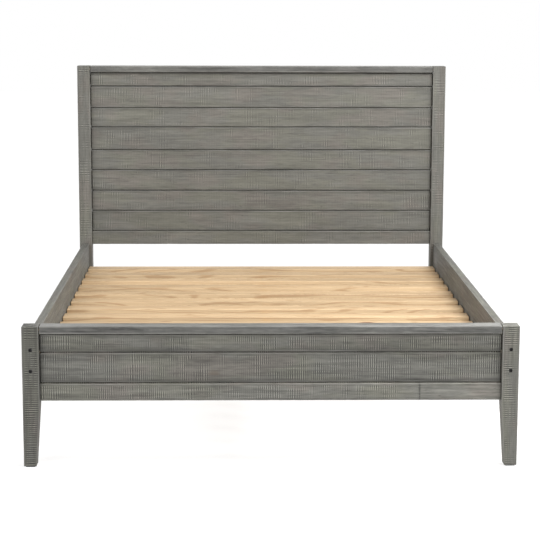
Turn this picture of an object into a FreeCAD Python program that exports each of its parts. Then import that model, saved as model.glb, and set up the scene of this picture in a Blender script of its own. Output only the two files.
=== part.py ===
import FreeCAD, Part
import math
import os

from FreeCAD import Rotation, Vector

# Queen-size plank bed frame. Millimetres, +Z up, +Y towards the headboard, +X to the right as seen from
# the foot. The origin is on the floor, under the middle of the bed's outline.

# The queen mattress that the frame holds, and the room left round it
MATTRESS_WIDTH = 1524.0
MATTRESS_LENGTH = 2032.0
SIDE_ROOM = 3.0
END_ROOM = 4.0

# Heights above the floor
HEADBOARD_HEIGHT = 1213.0
FOOTBOARD_HEIGHT = 467.5
SLAT_TOP = 330.0

# Posts and legs
POST_WIDTH = 55.0
POST_DEPTH = 60.0
POST_TOE_WIDTH = 42.0
POST_TOE_DEPTH = 42.0
TAPER_TOP = 216.0
CUT_MARGIN = 5.0
GLIDE_THICKNESS = 3.0
GLIDE_SIDE = 32.0
GLIDE_CORNER_RADIUS = 5.0

# Panels: heights of the shadow gaps between their members, from the top down
HEADBOARD_LEVELS = [1183.0, 1124.5, 1030.5, 945.5, 845.0, 756.0, 665.0, 575.0, 485.0]
HEADBOARD_SETBACKS = [0.0, 2.0, 4.0, 1.5, 3.0, 1.0, 3.0, 2.0]
HEADBOARD_PANEL_BOTTOM = 425.0
STRETCHER_SPAN = (218.5, 300.0)
FOOTBOARD_LEVELS = [439.5, 378.5, 277.0]
FOOTBOARD_SETBACKS = [0.0, 1.0]
FOOTBOARD_BOTTOM = 218.5
SHADOW_GAP = 5.0
PANEL_END_GAP = 2.0
PANEL_RECESS = 18.0
FOOT_PANEL_RECESS = 20.0
PLANK_THICKNESS = 18.0
PANEL_RAIL_THICKNESS = 26.0
PANEL_RAIL_ADVANCE = 4.0
CAP_RECESS = 1.5
TENON_LENGTH = 10.0
TENON_THICKNESS = 10.0
TONGUE_THICKNESS = 4.0
TONGUE_HEIGHT = 5.0
TONGUE_OFFSET = 2.0
GROOVE_END_ROOM = 1.0
TENON_END_ROOM = 2.0
JOINT_CLEARANCE = 0.3

# Braces behind the panels
BRACE_WIDTH = 60.0
BRACE_THICKNESS = 20.0
BRACE_LIFT = 5.0

# Side rails, ledgers and slats
RAIL_THICKNESS = 28.0
RAIL_SPAN = (280.0, 430.0)
LEDGER_WIDTH = 20.0
LEDGER_HEIGHT = 30.0
LEDGER_END_GAP = 6.0
LEDGER_EASE = 1.0
LEDGER_SCREW_COUNT = 8
LEDGER_SCREW_REACH = 900.0
LEDGER_SCREW_RISE = 10.0
SLAT_COUNT = 13
SLAT_WIDTH = 80.0
SLAT_THICKNESS = 18.0
SLAT_END_GAP = 2.0
SLAT_FIELD = 2000.0

# Centre rail, its pockets and its leg
CENTRE_RAIL_WIDTH = 38.0
CENTRE_RAIL_HEIGHT = 65.0
POCKET_SHEET = 3.0
POCKET_WIDTH = 96.0
POCKET_REACH = 35.0
POCKET_TOP = 274.0
POCKET_SIDE_ROOM = 0.5
POCKET_SCREW_X = 35.0
POCKET_SCREW_MARGIN = 8.0
CENTRE_LEG_TOP_SIDE = 45.0
CENTRE_LEG_TOE_SIDE = 36.0
CENTRE_LEG_BOTTOM = 32.0
CENTRE_LEG_SCREW_Y = 12.0

# Adjustable foot
STEM_RADIUS = 4.0
FIT_CLEARANCE = 0.06
PAD_RADIUS = 22.0
PAD_HEIGHT = 9.0
PAD_FLOOR = 3.0
PAD_RIM_BEVEL = 1.0
PAD_RIM_HEIGHT = 4.0
PAD_NECK_RADIUS = 12.0
STEM_TOP = 75.0
STEM_FLANGE_RADIUS = 7.0
STEM_FLANGE_HEIGHT = 2.6
STEM_PLAY = 0.3
HEXAGON_WIDTH = 13.0
HEXAGON_SPAN = (12.0, 18.0)
INSERT_FLANGE_RADIUS = 12.0
INSERT_FLANGE_THICKNESS = 2.0
INSERT_BARREL_RADIUS = 5.5
INSERT_BARREL_LENGTH = 14.0
LEG_BORE_TOP = 92.0
LEG_BORE_RADIUS = 5.0
STEM_TIP_BEVEL = 1.0

# Rail bolts, barrel nuts and dowels
BOLT_HEIGHTS = (390.0, 320.0)
BOLT_RADIUS = 3.0
BOLT_HEAD_RADIUS = 5.0
BOLT_HEAD_HEIGHT = 6.0
BOLT_LENGTH = 105.0
BOLT_HOLE_RADIUS = 3.5
BOLT_WELL_RADIUS = 5.5
BOLT_WELL_DEPTH = 12.0
BOLT_KEY_WIDTH = 5.0
BOLT_KEY_DEPTH = 3.0
BOLT_BORE_DEPTH = 62.0
BARREL_RADIUS = 5.0
BARREL_LENGTH = 20.0
BARREL_FROM_RAIL_END = 40.0
BARREL_HOLE_END_ROOM = 1.0
BARREL_SLOT_WIDTH = 1.2
BARREL_SLOT_DEPTH = 1.5
DOWEL_RADIUS = 4.0
DOWEL_LENGTH = 36.0
DOWEL_CLEARANCE = 0.1
DOWEL_END_ROOM = 0.5
DOWEL_SPREAD = 15.0
RAIL_DOWEL_HEIGHT = 355.0

# Wood screws
SCREW_RADIUS = 2.0
SCREW_HEAD_RADIUS = 4.0
SCREW_HEAD_HEIGHT = 3.0
SCREW_POINT = 4.0
SCREW_CLEARANCE = 0.1
SCREW_CROSS_REACH = 2.4
SCREW_SLOT = 1.0
SCREW_SLOT_DEPTH = 1.4
SCREW_LENGTHS = {"ledger": 38.0, "slat": 30.0, "brace": 31.0, "pocket": 22.0, "centre_leg": 105.0}

# Eased edges
WOOD_EASE = 1.5
SLAT_EASE = 2.0

# Sizes and places worked out from the values above
HALF_WIDTH = (MATTRESS_WIDTH + RAIL_THICKNESS + POST_WIDTH) / 2 + SIDE_ROOM
HALF_LENGTH = MATTRESS_LENGTH / 2 + END_ROOM + POST_DEPTH
POST_INNER_X = HALF_WIDTH - POST_WIDTH
POST_CENTRE_X = HALF_WIDTH - POST_WIDTH / 2
FOOT_FRONT_Y = -HALF_LENGTH
FOOT_BACK_Y = FOOT_FRONT_Y + POST_DEPTH
HEAD_BACK_Y = HALF_LENGTH
HEAD_FRONT_Y = HEAD_BACK_Y - POST_DEPTH
HEAD_PANEL_Y = HEAD_FRONT_Y + PANEL_RECESS
FOOT_PANEL_Y = FOOT_FRONT_Y + FOOT_PANEL_RECESS
RAIL_INNER_X = POST_CENTRE_X - RAIL_THICKNESS / 2
RAIL_OUTER_X = POST_CENTRE_X + RAIL_THICKNESS / 2
SLAT_BOTTOM = SLAT_TOP - SLAT_THICKNESS
CENTRE_RAIL_SPAN = (SLAT_BOTTOM - CENTRE_RAIL_HEIGHT, SLAT_BOTTOM)
FOOT_RAIL_BACK_Y = FOOT_PANEL_Y - PANEL_RAIL_ADVANCE + PANEL_RAIL_THICKNESS
STRETCHER_FRONT_Y = HEAD_PANEL_Y - PANEL_RAIL_ADVANCE

X_AXIS = Vector(1, 0, 0)
Y_AXIS = Vector(0, 1, 0)
Z_AXIS = Vector(0, 0, 1)
SIDES = {"left": -1, "right": 1}


def block(x, y, z):
    """A box from its three spans, each given as (low, high)."""
    return Part.makeBox(x[1] - x[0], y[1] - y[0], z[1] - z[0], Vector(x[0], y[0], z[0]))


def eased_block(x, y, z, ease=WOOD_EASE):
    """A box with every edge eased by a small chamfer."""
    solid = block(x, y, z)
    return solid.makeChamfer(ease, solid.Edges)


def rod(radius, start, direction, length):
    """A round bar or hole from start along direction."""
    return Part.makeCylinder(radius, length, start, direction)


def hexagon(across_flats, start, direction, length):
    """A hexagonal bar from start along direction."""
    radius = across_flats / math.sqrt(3)
    corners = [
        Vector(radius * math.cos(math.radians(60 * i)), radius * math.sin(math.radians(60 * i)), 0)
        for i in range(7)
    ]
    bar = Part.Face(Part.makePolygon(corners)).extrude(Vector(0, 0, length))
    return placed(bar, start, direction)


def placed(shape, start, direction):
    """The shape moved so that its own +Z runs along direction from start."""
    shape.Placement = FreeCAD.Placement(start, Rotation(Z_AXIS, direction))
    return shape


def wedge(points, direction):
    """A prism with the given triangle as its end, extruded along direction."""
    return Part.Face(Part.makePolygon(points + points[:1])).extrude(direction)


def mirrored(shape):
    """The same shape on the other side of the bed."""
    return shape.mirror(Vector(0, 0, 0), X_AXIS)


def on_side(shape, side):
    """A shape made for the right-hand side, or its mirror image for the left."""
    return shape if side > 0 else mirrored(shape)


def on_both_sides(shapes):
    """Right-hand shapes, together with their mirror images."""
    return shapes + [mirrored(shape) for shape in shapes]


def wood_screw(start, direction, length, growth=0.0):
    """A countersunk screw from its head's face along direction. Growth turns it into its own hole."""
    shank_end = length - SCREW_POINT
    outline = [
        Vector(0, 0, 0),
        Vector(SCREW_HEAD_RADIUS + growth, 0, 0),
        Vector(SCREW_RADIUS + growth, 0, SCREW_HEAD_HEIGHT + growth),
        Vector(SCREW_RADIUS + growth, 0, shank_end + growth),
        Vector(0, 0, length + 2 * growth),
        Vector(0, 0, 0),
    ]
    screw = Part.Face(Part.makePolygon(outline)).revolve(Vector(0, 0, 0), Z_AXIS, 360)
    if growth == 0:
        along = (-SCREW_CROSS_REACH, SCREW_CROSS_REACH)
        across = (-SCREW_SLOT / 2, SCREW_SLOT / 2)
        depth = (0, SCREW_SLOT_DEPTH)
        screw = screw.cut([block(along, across, depth), block(across, along, depth)])
    return placed(screw, start, direction)


def screws(places, direction, length):
    """One screw at each place."""
    return [wood_screw(place, direction, length) for place in places]


def screw_holes(places, direction, length):
    """The hole that each screw fills."""
    return [wood_screw(place, direction, length, SCREW_CLEARANCE) for place in places]


# Fastener places, for the right-hand side where there is one of each side


def panel_dowel_places():
    """Dowel centres in the plane where each cross member meets a post: node name to (y, z) list."""
    cap_y = FOOT_FRONT_Y + POST_DEPTH / 2
    top_y = HEAD_FRONT_Y + POST_DEPTH / 2
    foot_rail_y = FOOT_RAIL_BACK_Y - PANEL_RAIL_THICKNESS / 2
    head_rail_y = STRETCHER_FRONT_Y + PANEL_RAIL_THICKNESS / 2
    cap_z = (FOOTBOARD_HEIGHT + FOOTBOARD_LEVELS[0] + SHADOW_GAP / 2) / 2
    top_z = (HEADBOARD_HEIGHT + HEADBOARD_LEVELS[0] + SHADOW_GAP / 2) / 2
    foot_z = (FOOTBOARD_BOTTOM + FOOTBOARD_LEVELS[-1]) / 2
    panel_z = (HEADBOARD_PANEL_BOTTOM + HEADBOARD_LEVELS[-1]) / 2
    stretcher_z = sum(STRETCHER_SPAN) / 2
    offsets = (-DOWEL_SPREAD, DOWEL_SPREAD)
    return {
        "footboard_cap_rail": [(cap_y + offset, cap_z) for offset in offsets],
        "footboard_bottom_rail": [(foot_rail_y, foot_z + offset) for offset in offsets],
        "headboard_top_rail": [(top_y + offset, top_z) for offset in offsets],
        "headboard_panel_rail": [(head_rail_y, panel_z + offset) for offset in offsets],
        "headboard_stretcher": [(head_rail_y, stretcher_z + offset) for offset in offsets],
    }


def dowel(y, z):
    """A dowel across the right-hand post's inner face."""
    return rod(DOWEL_RADIUS, Vector(POST_INNER_X - DOWEL_LENGTH / 2, y, z), X_AXIS, DOWEL_LENGTH)


def dowel_hole(y, z):
    """The hole that a dowel across the right-hand post's inner face sits in."""
    half = DOWEL_LENGTH / 2 + DOWEL_END_ROOM
    return rod(DOWEL_RADIUS + DOWEL_CLEARANCE, Vector(POST_INNER_X - half, y, z), X_AXIS, 2 * half)


def member_dowel_holes(node):
    """Dowel holes at both ends of one cross member."""
    return on_both_sides([dowel_hole(y, z) for y, z in panel_dowel_places()[node]])


def post_dowel_holes(prefix):
    """Right-hand dowel holes of the headboard's or the footboard's members."""
    return [
        dowel_hole(y, z)
        for node, places in panel_dowel_places().items()
        if node.startswith(prefix)
        for y, z in places
    ]


def rail_ends():
    """Each end of a right-hand side rail: the post's outer face, the joint's plane and the inward way."""
    return [(FOOT_FRONT_Y, FOOT_BACK_Y, 1), (HEAD_BACK_Y, HEAD_FRONT_Y, -1)]


def rail_dowel(joint_y):
    """The locating dowel between a rail's end and its post."""
    start = Vector(POST_CENTRE_X, joint_y - DOWEL_LENGTH / 2, RAIL_DOWEL_HEIGHT)
    return rod(DOWEL_RADIUS, start, Y_AXIS, DOWEL_LENGTH)


def rail_dowel_hole(joint_y):
    """The hole that a rail's locating dowel sits in."""
    half = DOWEL_LENGTH / 2 + DOWEL_END_ROOM
    start = Vector(POST_CENTRE_X, joint_y - half, RAIL_DOWEL_HEIGHT)
    return rod(DOWEL_RADIUS + DOWEL_CLEARANCE, start, Y_AXIS, 2 * half)


def bolt_holes(outer_y, joint_y, inward):
    """Head wells and clearance holes for the two bolts at one end of a right-hand rail."""
    direction = Vector(0, inward, 0)
    through = abs(joint_y - outer_y) + BOLT_BORE_DEPTH
    holes = []
    for z in BOLT_HEIGHTS:
        start = Vector(POST_CENTRE_X, outer_y, z)
        holes.append(rod(BOLT_WELL_RADIUS, start, direction, BOLT_WELL_DEPTH))
        holes.append(rod(BOLT_HOLE_RADIUS, start, direction, through))
    return holes


def barrel_place(joint_y, inward, z):
    """Middle of a barrel nut."""
    return Vector(POST_CENTRE_X, joint_y + inward * BARREL_FROM_RAIL_END, z)


def barrel_holes(joint_y, inward):
    """Blind holes for barrel nuts, bored from the right-hand rail's inner face."""
    holes = []
    for z in BOLT_HEIGHTS:
        middle = barrel_place(joint_y, inward, z)
        start = Vector(RAIL_INNER_X, middle.y, z)
        depth = RAIL_THICKNESS / 2 + BARREL_LENGTH / 2 + BARREL_HOLE_END_ROOM
        holes.append(rod(BARREL_RADIUS + DOWEL_CLEARANCE, start, X_AXIS, depth))
    return holes


def ledger_screw_places():
    """Screw heads on a right-hand ledger's inner face."""
    x = RAIL_INNER_X - LEDGER_WIDTH
    z = SLAT_BOTTOM - LEDGER_HEIGHT + LEDGER_SCREW_RISE
    pitch = 2 * LEDGER_SCREW_REACH / (LEDGER_SCREW_COUNT - 1)
    return [Vector(x, pitch * i - LEDGER_SCREW_REACH, z) for i in range(LEDGER_SCREW_COUNT)]


def slat_centres():
    """Y of the middle of each slat, from the foot to the head."""
    first = -(SLAT_FIELD - SLAT_WIDTH) / 2
    pitch = (SLAT_FIELD - SLAT_WIDTH) / (SLAT_COUNT - 1)
    return [first + pitch * i for i in range(SLAT_COUNT)]


def slat_screw_place(y):
    """Screw head on the right-hand end of a slat."""
    return Vector(RAIL_INNER_X - LEDGER_WIDTH / 2, y, SLAT_TOP)


def head_brace_screw_places():
    """Screw heads on the headboard brace's back, one at each plank."""
    y = HEAD_PANEL_Y + PLANK_THICKNESS + BRACE_THICKNESS
    return [
        Vector(0, y, (upper + lower) / 2)
        for upper, lower in zip(HEADBOARD_LEVELS, HEADBOARD_LEVELS[1:])
    ]


def foot_brace_screw_places():
    """Screw heads on the footboard brace's inner face, one at each plank."""
    y = FOOT_PANEL_Y + PLANK_THICKNESS + BRACE_THICKNESS
    return [
        Vector(0, y, (upper + lower) / 2)
        for upper, lower in zip(FOOTBOARD_LEVELS, FOOTBOARD_LEVELS[1:])
    ]


def pocket_screw_places(wall_y, inward):
    """Screw heads on the two ears of a centre rail pocket."""
    face_y = wall_y + inward * POCKET_SHEET
    low = CENTRE_RAIL_SPAN[0] + POCKET_SCREW_MARGIN
    high = POCKET_TOP - POCKET_SCREW_MARGIN
    return [Vector(x, face_y, z) for x in (-POCKET_SCREW_X, POCKET_SCREW_X) for z in (low, high)]


def centre_leg_screw_places():
    """Screw heads on the centre rail's top, over the leg."""
    return [Vector(0, y, CENTRE_RAIL_SPAN[1]) for y in (-CENTRE_LEG_SCREW_Y, CENTRE_LEG_SCREW_Y)]


# Posts and legs


def tapered_post(inner_y, outer_y, top):
    """A right-hand post: square above, with its two inner faces tapering to the toe."""
    y_span = (min(inner_y, outer_y), max(inner_y, outer_y))
    post = eased_block((POST_INNER_X, HALF_WIDTH), y_span, (GLIDE_THICKNESS, top))
    margin = CUT_MARGIN
    bottom = GLIDE_THICKNESS - margin
    lengthening = (TAPER_TOP - bottom) / (TAPER_TOP - GLIDE_THICKNESS)
    lean_x = (POST_WIDTH - POST_TOE_WIDTH) * lengthening
    lean_y = (POST_DEPTH - POST_TOE_DEPTH) * lengthening
    outward = 1 if outer_y > inner_y else -1
    x_cut = wedge(
        [
            Vector(POST_INNER_X, y_span[0] - margin, TAPER_TOP),
            Vector(POST_INNER_X, y_span[0] - margin, bottom),
            Vector(POST_INNER_X + lean_x, y_span[0] - margin, bottom),
        ],
        Vector(0, POST_DEPTH + 2 * margin, 0),
    )
    y_cut = wedge(
        [
            Vector(POST_INNER_X - margin, inner_y, TAPER_TOP),
            Vector(POST_INNER_X - margin, inner_y, bottom),
            Vector(POST_INNER_X - margin, inner_y + outward * lean_y, bottom),
        ],
        Vector(POST_WIDTH + 2 * margin, 0, 0),
    )
    return post.cut([x_cut, y_cut])


def plank_groove(plank_y, z_span):
    """The groove in a right-hand post that holds the planks' tenons."""
    back = plank_y + PLANK_THICKNESS
    depth = TENON_LENGTH + TENON_END_ROOM
    y_span = (back - TENON_THICKNESS - JOINT_CLEARANCE, back + JOINT_CLEARANCE)
    return block((POST_INNER_X, POST_INNER_X + depth), y_span, z_span)


def headboard_post(side):
    outer_y, joint_y, inward = rail_ends()[1]
    post = tapered_post(HEAD_FRONT_Y, HEAD_BACK_Y, HEADBOARD_HEIGHT)
    groove = plank_groove(HEAD_PANEL_Y, (HEADBOARD_LEVELS[-1], HEADBOARD_LEVELS[0]))
    holes = bolt_holes(outer_y, joint_y, inward) + [rail_dowel_hole(joint_y)]
    return on_side(post.cut([groove] + holes + post_dowel_holes("headboard")), side)


def footboard_leg(side):
    outer_y, joint_y, inward = rail_ends()[0]
    leg = tapered_post(FOOT_BACK_Y, FOOT_FRONT_Y, FOOTBOARD_HEIGHT)
    groove = plank_groove(FOOT_PANEL_Y, (FOOTBOARD_LEVELS[-1], FOOTBOARD_LEVELS[0]))
    holes = bolt_holes(outer_y, joint_y, inward) + [rail_dowel_hole(joint_y)]
    return on_side(leg.cut([groove] + holes + post_dowel_holes("footboard")), side)


def floor_glides():
    """A square plastic glide under each of the four toes."""
    half = GLIDE_SIDE / 2
    x = HALF_WIDTH - POST_TOE_WIDTH / 2
    glides = []
    for y in (FOOT_FRONT_Y + POST_TOE_DEPTH / 2, HEAD_BACK_Y - POST_TOE_DEPTH / 2):
        glide = block((x - half, x + half), (y - half, y + half), (0, GLIDE_THICKNESS))
        upright = [edge for edge in glide.Edges if edge.BoundBox.ZLength > GLIDE_THICKNESS / 2]
        glides.append(glide.makeFillet(GLIDE_CORNER_RADIUS, upright))
    return on_both_sides(glides)


# Panel members


def tongue(panel_y, level):
    """The tongue that a member's top edge pushes up into the groove above it."""
    middle = panel_y + PLANK_THICKNESS / 2 + TONGUE_OFFSET
    y_span = (middle - TONGUE_THICKNESS / 2, middle + TONGUE_THICKNESS / 2)
    z_span = (level - SHADOW_GAP / 2, level + SHADOW_GAP / 2 + TONGUE_HEIGHT)
    half = POST_INNER_X - PANEL_END_GAP - WOOD_EASE
    return block((-half, half), y_span, z_span)


def tongue_groove(panel_y, level):
    """The groove in a member's bottom edge."""
    middle = panel_y + PLANK_THICKNESS / 2 + TONGUE_OFFSET
    half_width = TONGUE_THICKNESS / 2 + JOINT_CLEARANCE
    z_span = (level, level + SHADOW_GAP / 2 + TONGUE_HEIGHT + GROOVE_END_ROOM)
    half = POST_INNER_X - PANEL_END_GAP
    return block((-half, half), (middle - half_width, middle + half_width), z_span)


def plank(panel_y, setback, upper, lower):
    """One plank of a panel: tenons at its ends, a tongue on its top edge and a groove underneath."""
    back = panel_y + PLANK_THICKNESS
    half = POST_INNER_X - PANEL_END_GAP
    z_span = (lower + SHADOW_GAP / 2, upper - SHADOW_GAP / 2)
    body = eased_block((-half, half), (panel_y + setback, back), z_span)
    tenon_half = POST_INNER_X + TENON_LENGTH
    tenon_z = (z_span[0] + WOOD_EASE, z_span[1] - WOOD_EASE)
    tenons = block((-tenon_half, tenon_half), (back - TENON_THICKNESS, back - WOOD_EASE), tenon_z)
    return body.fuse([tenons, tongue(panel_y, upper)]).cut(tongue_groove(panel_y, lower)).removeSplitter()


def headboard_planks():
    """Node name to plank, numbered from the top."""
    spans = zip(HEADBOARD_SETBACKS, HEADBOARD_LEVELS, HEADBOARD_LEVELS[1:])
    planks = {}
    for number, (setback, upper, lower) in enumerate(spans, start=1):
        solid = plank(HEAD_PANEL_Y, setback, upper, lower)
        holes = screw_holes(head_brace_screw_places(), Vector(0, -1, 0), SCREW_LENGTHS["brace"])
        planks[f"headboard_plank_{number}"] = solid.cut(holes)
    return planks


def footboard_planks():
    """Node name to plank, from the top."""
    names = ["footboard_upper_plank", "footboard_middle_plank"]
    holes = screw_holes(foot_brace_screw_places(), Vector(0, -1, 0), SCREW_LENGTHS["brace"])
    spans = zip(names, FOOTBOARD_SETBACKS, FOOTBOARD_LEVELS, FOOTBOARD_LEVELS[1:])
    return {
        name: plank(FOOT_PANEL_Y, setback, upper, lower).cut(holes)
        for name, setback, upper, lower in spans
    }


def top_member(node, panel_y, post_front_y, level, top):
    """The deep rail along a panel's top, between the posts and flush with their tops."""
    y_span = (post_front_y + CAP_RECESS, post_front_y + POST_DEPTH)
    member = eased_block((-POST_INNER_X, POST_INNER_X), y_span, (level + SHADOW_GAP / 2, top))
    return member.cut([tongue_groove(panel_y, level)] + member_dowel_holes(node))


def cross_rail(node, panel_y, z_span):
    """A plain rail between the posts, a little proud of the planks' front."""
    front = panel_y - PANEL_RAIL_ADVANCE
    member = eased_block((-POST_INNER_X, POST_INNER_X), (front, front + PANEL_RAIL_THICKNESS), z_span)
    return member.cut(member_dowel_holes(node))


def panel_bottom_rail(node, panel_y, level, bottom):
    """The rail under a panel, with a tongue for the lowest plank."""
    rail = cross_rail(node, panel_y, (bottom, level - SHADOW_GAP / 2))
    return rail.fuse(tongue(panel_y, level)).removeSplitter()


def footboard_bottom_rail():
    rail = panel_bottom_rail("footboard_bottom_rail", FOOT_PANEL_Y, FOOTBOARD_LEVELS[-1], FOOTBOARD_BOTTOM)
    places = pocket_screw_places(FOOT_RAIL_BACK_Y, 1)
    return rail.cut(screw_holes(places, Vector(0, -1, 0), SCREW_LENGTHS["pocket"]))


def headboard_stretcher():
    stretcher = cross_rail("headboard_stretcher", HEAD_PANEL_Y, STRETCHER_SPAN)
    places = pocket_screw_places(STRETCHER_FRONT_Y, -1)
    return stretcher.cut(screw_holes(places, Y_AXIS, SCREW_LENGTHS["pocket"]))


def brace(panel_y, z_span, places):
    """An upright batten behind the planks, screwed to each of them."""
    back = panel_y + PLANK_THICKNESS
    half = BRACE_WIDTH / 2
    batten = eased_block((-half, half), (back, back + BRACE_THICKNESS), z_span)
    return batten.cut(screw_holes(places, Vector(0, -1, 0), SCREW_LENGTHS["brace"]))


# Side rails, ledgers and slats


def side_rail(side):
    rail = eased_block((RAIL_INNER_X, RAIL_OUTER_X), (FOOT_BACK_Y, HEAD_FRONT_Y), RAIL_SPAN)
    holes = screw_holes(ledger_screw_places(), X_AXIS, SCREW_LENGTHS["ledger"])
    for outer_y, joint_y, inward in rail_ends():
        holes += bolt_holes(outer_y, joint_y, inward)
        holes += barrel_holes(joint_y, inward)
        holes.append(rail_dowel_hole(joint_y))
    return on_side(rail.cut(holes), side)


def ledger(side):
    x_span = (RAIL_INNER_X - LEDGER_WIDTH, RAIL_INNER_X)
    y_span = (FOOT_BACK_Y + LEDGER_END_GAP, HEAD_FRONT_Y - LEDGER_END_GAP)
    strip = eased_block(x_span, y_span, (SLAT_BOTTOM - LEDGER_HEIGHT, SLAT_BOTTOM), LEDGER_EASE)
    holes = screw_holes(ledger_screw_places(), X_AXIS, SCREW_LENGTHS["ledger"])
    holes += screw_holes([slat_screw_place(y) for y in slat_centres()], -Z_AXIS, SCREW_LENGTHS["slat"])
    return on_side(strip.cut(holes), side)


def slat(y):
    """One slat across both ledgers and the centre rail."""
    half = RAIL_INNER_X - SLAT_END_GAP
    y_span = (y - SLAT_WIDTH / 2, y + SLAT_WIDTH / 2)
    board = eased_block((-half, half), y_span, (SLAT_BOTTOM, SLAT_TOP), SLAT_EASE)
    holes = on_both_sides(screw_holes([slat_screw_place(y)], -Z_AXIS, SCREW_LENGTHS["slat"]))
    return board.cut(holes)


# Centre rail, its pockets and its leg


def centre_rail():
    half = CENTRE_RAIL_WIDTH / 2
    y_span = (FOOT_RAIL_BACK_Y + POCKET_SHEET, STRETCHER_FRONT_Y - POCKET_SHEET)
    rail = eased_block((-half, half), y_span, CENTRE_RAIL_SPAN)
    return rail.cut(screw_holes(centre_leg_screw_places(), -Z_AXIS, SCREW_LENGTHS["centre_leg"]))


def centre_rail_pocket(wall_y, inward):
    """A bent steel pocket: an eared back plate with a trough that the rail's end drops into."""
    inside = CENTRE_RAIL_WIDTH / 2 + POCKET_SIDE_ROOM
    outside = inside + POCKET_SHEET
    floor = CENTRE_RAIL_SPAN[0]
    plate_y = sorted((wall_y, wall_y + inward * POCKET_SHEET))
    trough_y = sorted((wall_y, wall_y + inward * POCKET_REACH))
    half = POCKET_WIDTH / 2
    plate = block((-half, half), plate_y, (floor - POCKET_SHEET, POCKET_TOP))
    base = block((-outside, outside), trough_y, (floor - POCKET_SHEET, floor))
    cheek = block((inside, outside), trough_y, (floor - POCKET_SHEET, POCKET_TOP))
    pocket = plate.fuse([base, cheek, mirrored(cheek)]).removeSplitter()
    places = pocket_screw_places(wall_y, inward)
    return pocket.cut(screw_holes(places, Vector(0, -inward, 0), SCREW_LENGTHS["pocket"]))


def centre_leg():
    """A square leg under the middle of the centre rail, tapering to its toe."""
    top = CENTRE_RAIL_SPAN[0]
    sections = []
    for z, side in ((CENTRE_LEG_BOTTOM, CENTRE_LEG_TOE_SIDE), (top, CENTRE_LEG_TOP_SIDE)):
        half = side / 2
        corners = [Vector(x * half, y * half, z) for x, y in ((-1, -1), (1, -1), (1, 1), (-1, 1), (-1, -1))]
        sections.append(Part.makePolygon(corners))
    leg = Part.makeLoft(sections, True, True)
    leg = leg.makeChamfer(WOOD_EASE, leg.Edges)
    insert_hole = rod(
        INSERT_BARREL_RADIUS + DOWEL_CLEARANCE, Vector(0, 0, CENTRE_LEG_BOTTOM), Z_AXIS, INSERT_BARREL_LENGTH
    )
    bore_length = LEG_BORE_TOP - CENTRE_LEG_BOTTOM
    stem_hole = rod(LEG_BORE_RADIUS, Vector(0, 0, CENTRE_LEG_BOTTOM), Z_AXIS, bore_length)
    holes = screw_holes(centre_leg_screw_places(), -Z_AXIS, SCREW_LENGTHS["centre_leg"])
    return leg.cut([insert_hole, stem_hole] + holes)


def centre_leg_insert():
    """The threaded insert in the leg's toe: a flange below and a barrel in the wood."""
    flange_bottom = CENTRE_LEG_BOTTOM - INSERT_FLANGE_THICKNESS
    flange = rod(INSERT_FLANGE_RADIUS, Vector(0, 0, flange_bottom), Z_AXIS, INSERT_FLANGE_THICKNESS)
    barrel = rod(INSERT_BARREL_RADIUS, Vector(0, 0, CENTRE_LEG_BOTTOM), Z_AXIS, INSERT_BARREL_LENGTH)
    bore_length = INSERT_FLANGE_THICKNESS + INSERT_BARREL_LENGTH
    bore = rod(STEM_RADIUS + FIT_CLEARANCE, Vector(0, 0, flange_bottom), Z_AXIS, bore_length)
    return flange.fuse(barrel).cut(bore)


def foot_stem():
    """The threaded stem of the adjustable foot: captive flange, wrench hexagon and thread."""
    flange_z = PAD_FLOOR + STEM_PLAY
    flange = rod(STEM_FLANGE_RADIUS, Vector(0, 0, flange_z), Z_AXIS, STEM_FLANGE_HEIGHT)
    shaft = rod(STEM_RADIUS, Vector(0, 0, flange_z), Z_AXIS, STEM_TOP - flange_z)
    tip = [edge for edge in shaft.Edges if edge.BoundBox.ZMin > STEM_TOP - STEM_TIP_BEVEL]
    shaft = shaft.makeChamfer(STEM_TIP_BEVEL, tip)
    collar = hexagon(HEXAGON_WIDTH, Vector(0, 0, HEXAGON_SPAN[0]), Z_AXIS, HEXAGON_SPAN[1] - HEXAGON_SPAN[0])
    return shaft.fuse([flange, collar]).removeSplitter()


def foot_pad():
    """The swivelling pad: a low dome with an undercut socket that holds the stem's flange."""
    cavity_radius = STEM_FLANGE_RADIUS + STEM_PLAY
    cavity_top = PAD_FLOOR + STEM_FLANGE_HEIGHT + 2 * STEM_PLAY
    outline = [
        Vector(0, 0, 0),
        Vector(PAD_RADIUS - PAD_RIM_BEVEL, 0, 0),
        Vector(PAD_RADIUS, 0, PAD_RIM_BEVEL),
        Vector(PAD_RADIUS, 0, PAD_RIM_HEIGHT),
        Vector(PAD_NECK_RADIUS, 0, PAD_HEIGHT),
        Vector(STEM_RADIUS + FIT_CLEARANCE, 0, PAD_HEIGHT),
        Vector(STEM_RADIUS + FIT_CLEARANCE, 0, cavity_top),
        Vector(cavity_radius, 0, cavity_top),
        Vector(cavity_radius, 0, PAD_FLOOR),
        Vector(0, 0, PAD_FLOOR),
        Vector(0, 0, 0),
    ]
    return Part.Face(Part.makePolygon(outline)).revolve(Vector(0, 0, 0), Z_AXIS, 360)


# Fasteners


def rail_bolt(outer_y, inward, z):
    """A socket head bolt, its head down in the well of a right-hand post."""
    direction = Vector(0, inward, 0)
    seat = outer_y + inward * BOLT_WELL_DEPTH
    face = Vector(POST_CENTRE_X, seat - inward * BOLT_HEAD_HEIGHT, z)
    head = rod(BOLT_HEAD_RADIUS, face, direction, BOLT_HEAD_HEIGHT)
    shank = rod(BOLT_RADIUS, Vector(POST_CENTRE_X, seat, z), direction, BOLT_LENGTH)
    key = hexagon(BOLT_KEY_WIDTH, face, direction, BOLT_KEY_DEPTH)
    return head.fuse(shank).cut(key)


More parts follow.
